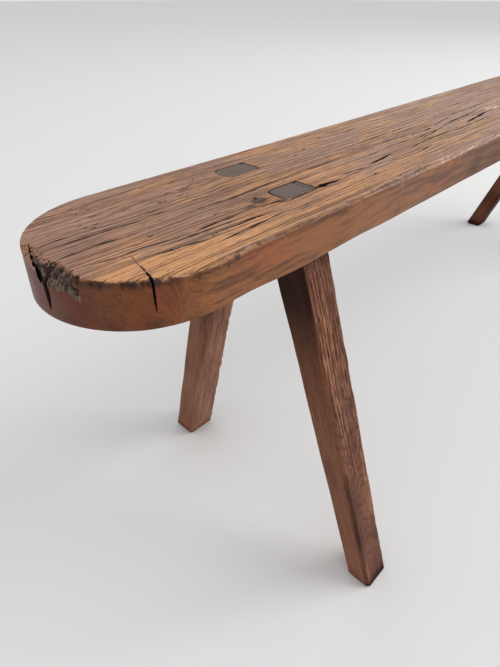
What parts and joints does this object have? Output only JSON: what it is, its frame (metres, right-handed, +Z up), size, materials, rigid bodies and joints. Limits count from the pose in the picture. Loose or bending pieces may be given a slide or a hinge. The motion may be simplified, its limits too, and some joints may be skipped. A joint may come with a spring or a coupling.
{
  "type": "oak bench",
  "caption": "Long narrow country bench: a thick round-ended oak plank on splayed square legs tenoned through it and wedged from above, worn and split with age.",
  "frame": {"origin": "on the floor, under the middle of the plank", "axes": "+X along the plank, +Y across it, +Z up; the worn end is at -X, and -Y is the front"},
  "size_m": [1.72, 0.4345, 0.472],
  "materials": {
    "plank_oak": "waxed, worn",
    "leg_oak": "waxed, worn",
    "wedge_oak": "waxed end grain"
  },
  "bodies": {
    "root": {"seat_plank": "plank_oak", "leg_left_front": "leg_oak", "wedge_left_front": "wedge_oak", "leg_left_back": "leg_oak", "wedge_left_back": "wedge_oak", "leg_right_front": "leg_oak", "wedge_right_front": "wedge_oak", "leg_right_back": "leg_oak", "wedge_right_back": "wedge_oak"}
  },
  "joints": []
}
